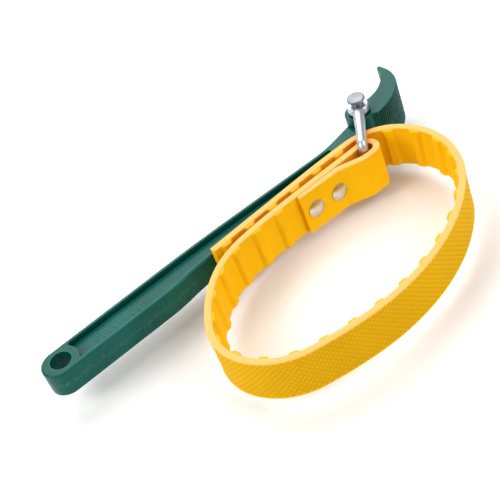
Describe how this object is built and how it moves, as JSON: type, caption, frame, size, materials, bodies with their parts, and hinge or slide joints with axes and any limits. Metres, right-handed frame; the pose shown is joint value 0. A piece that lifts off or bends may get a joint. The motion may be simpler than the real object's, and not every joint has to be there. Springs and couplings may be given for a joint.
{
  "type": "oil filter wrench",
  "caption": "Strap-type oil filter wrench: a green cast handle with a toothed crescent head, a steel shackle on a clevis pin, and a ribbed yellow rubber strap riveted into a loop.",
  "frame": {"origin": "centre of the hanging hole, on the mid-plane of the handle", "axes": "+X along the handle towards the head, +Z along the hanging hole, square to the handle; the strap loop hangs on the -Y side"},
  "size_m": [0.3022, 0.1645, 0.0506],
  "materials": {
    "green_enamel": "glossy green enamel over a slightly rough casting",
    "yellow_rubber": "satin yellow rubber, finely cross-hatched outside and ribbed inside",
    "zinc_steel": "satin zinc plate",
    "nickel": "polished nickel plate"
  },
  "bodies": {
    "handle": {"handle": "green_enamel", "head": "green_enamel", "clevis_pin": "zinc_steel", "pin_washer": "zinc_steel"},
    "shackle": {"shackle": "zinc_steel"},
    "strap_eye": {"strap_eye": "yellow_rubber", "rivets": "nickel", "rivet_backs": "nickel"},
    "strap_01": {"strap_01": "yellow_rubber"},
    "strap_02": {"strap_02": "yellow_rubber"},
    "strap_03": {"strap_03": "yellow_rubber"},
    "strap_04": {"strap_04": "yellow_rubber"},
    "strap_05": {"strap_05": "yellow_rubber"},
    "strap_06": {"strap_06": "yellow_rubber"},
    "strap_07": {"strap_07": "yellow_rubber"},
    "strap_08": {"strap_08": "yellow_rubber"},
    "strap_09": {"strap_09": "yellow_rubber"},
    "strap_10": {"strap_10": "yellow_rubber"},
    "strap_11": {"strap_11": "yellow_rubber"},
    "strap_12": {"strap_12": "yellow_rubber"},
    "strap_tail": {"strap_tail": "yellow_rubber"}
  },
  "joints": [
    {"name": "shackle_swing", "type": "hinge", "parent": "handle", "child": "shackle", "pos_m": [0.249, 0.0085, 0], "axis": [0, 0, 1], "range_deg": [-1, 60]},
    {"name": "strap_swivel", "type": "hinge", "parent": "shackle", "child": "strap_eye", "pos_m": [0.22497, -0.0226, 0], "axis": [0, 0, 1], "range_deg": [-60, 1]},
    {"name": "loop_cinch", "type": "hinge", "parent": "strap_eye", "child": "strap_01", "pos_m": [0.16597, -0.0169, 0], "axis": [0, 0, 1], "range_deg": [-0.23, 2.38]},
    {"name": "strap_flex_02", "type": "hinge", "parent": "strap_01", "child": "strap_02", "pos_m": [0.12844, -0.01886, 0], "axis": [0, 0, 1], "range_deg": [-0.31, 3.23]},
    {"name": "strap_flex_03", "type": "hinge", "parent": "strap_02", "child": "strap_03", "pos_m": [0.09418, -0.03305, 0], "axis": [0, 0, 1], "range_deg": [-0.26, 2.66]},
    {"name": "strap_flex_04", "type": "hinge", "parent": "strap_03", "child": "strap_04", "pos_m": [0.07042, -0.06187, 0], "axis": [0, 0, 1], "range_deg": [-0.1, 0.99]},
    {"name": "strap_flex_05", "type": "hinge", "parent": "strap_04", "child": "strap_05", "pos_m": [0.06979, -0.09809, 0], "axis": [0, 0, 1], "range_deg": [-0.92, 0.09]},
    {"name": "strap_flex_06", "type": "hinge", "parent": "strap_05", "child": "strap_06", "pos_m": [0.09792, -0.12128, 0], "axis": [0, 0, 1], "range_deg": [-2.15, 0.21]},
    {"name": "strap_flex_07", "type": "hinge", "parent": "strap_06", "child": "strap_07", "pos_m": [0.13486, -0.12813, 0], "axis": [0, 0, 1], "range_deg": [-2.89, 0.28]},
    {"name": "strap_flex_08", "type": "hinge", "parent": "strap_07", "child": "strap_08", "pos_m": [0.17234, -0.12715, 0], "axis": [0, 0, 1], "range_deg": [-3.65, 0.35]},
    {"name": "strap_flex_09", "type": "hinge", "parent": "strap_08", "child": "strap_09", "pos_m": [0.20818, -0.11619, 0], "axis": [0, 0, 1], "range_deg": [-4.12, 0.4]},
    {"name": "strap_flex_10", "type": "hinge", "parent": "strap_09", "child": "strap_10", "pos_m": [0.23922, -0.09525, 0], "axis": [0, 0, 1], "range_deg": [-3.88, 0.38]},
    {"name": "strap_flex_11", "type": "hinge", "parent": "strap_10", "child": "strap_11", "pos_m": [0.25834, -0.06344, 0], "axis": [0, 0, 1], "range_deg": [-1.81, 0.17]},
    {"name": "strap_flex_12", "type": "hinge", "parent": "strap_11", "child": "strap_12", "pos_m": [0.25387, -0.02703, 0], "axis": [0, 0, 1], "range_deg": [-0.28, 2.9]},
    {"name": "strap_flex_13", "type": "hinge", "parent": "strap_12", "child": "strap_tail", "pos_m": [0.2232, -0.00824, 0], "axis": [0, 0, 1], "range_deg": [-0.7, 7.25]}
  ],
  "couplings": [
    {"joint": "strap_swivel", "follows": "shackle_swing", "ratio": -1},
    {"joint": "strap_flex_02", "follows": "loop_cinch", "ratio": 1.3543},
    {"joint": "strap_flex_03", "follows": "loop_cinch", "ratio": 1.1156},
    {"joint": "strap_flex_04", "follows": "loop_cinch", "ratio": 0.4155},
    {"joint": "strap_flex_05", "follows": "loop_cinch", "ratio": -0.3841},
    {"joint": "strap_flex_06", "follows": "loop_cinch", "ratio": -0.903},
    {"joint": "strap_flex_07", "follows": "loop_cinch", "ratio": -1.2123},
    {"joint": "strap_flex_08", "follows": "loop_cinch", "ratio": -1.5289},
    {"joint": "strap_flex_09", "follows": "loop_cinch", "ratio": -1.7281},
    {"joint": "strap_flex_10", "follows": "loop_cinch", "ratio": -1.6277},
    {"joint": "strap_flex_11", "follows": "loop_cinch", "ratio": -0.7597},
    {"joint": "strap_flex_12", "follows": "loop_cinch", "ratio": 1.2162},
    {"joint": "strap_flex_13", "follows": "loop_cinch", "ratio": 3.0414}
  ]
}
